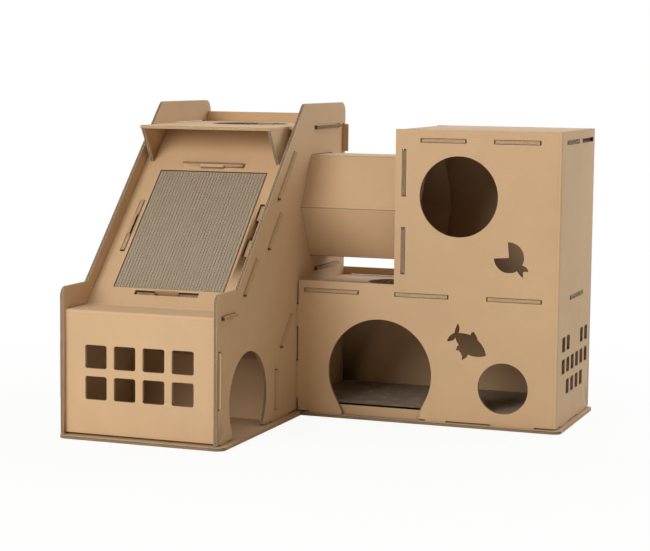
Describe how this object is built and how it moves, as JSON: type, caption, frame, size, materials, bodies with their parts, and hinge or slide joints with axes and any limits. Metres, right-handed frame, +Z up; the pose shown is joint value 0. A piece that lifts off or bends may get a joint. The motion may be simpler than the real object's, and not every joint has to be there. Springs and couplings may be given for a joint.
{
  "type": "cardboard castle",
  "caption": "Cardboard castle for a cat: a tower with a sloping scratching pad, joined by a six-sided tunnel to an L-shaped house with round doors and cut-out windows.",
  "frame": {"origin": "centre of the bounding box's underside, on the floor", "axes": "+X to the house's side (right seen from the front), front faces -Y, +Z up"},
  "size_m": [0.971, 0.779, 0.697],
  "materials": {
    "board": "kraft liner, matt",
    "scratch_pad": "edge-on corrugated strips"
  },
  "bodies": {
    "root": {"tower_left_side": "board", "tower_right_side": "board", "slide_sheet": "board", "slope_scratch_pad": "scratch_pad", "pad_tray": "board", "pad_support": "board", "tower_roof_awning": "board", "tower_rear_panel": "board", "inner_ramp": "board", "tower_base": "board", "tunnel": "board", "house_front_side": "board", "house_back_panel": "board", "middle_floor": "board", "upper_left_wall": "board", "house_roof": "board", "house_base": "board", "house_floor_pad": "scratch_pad"}
  },
  "joints": []
}
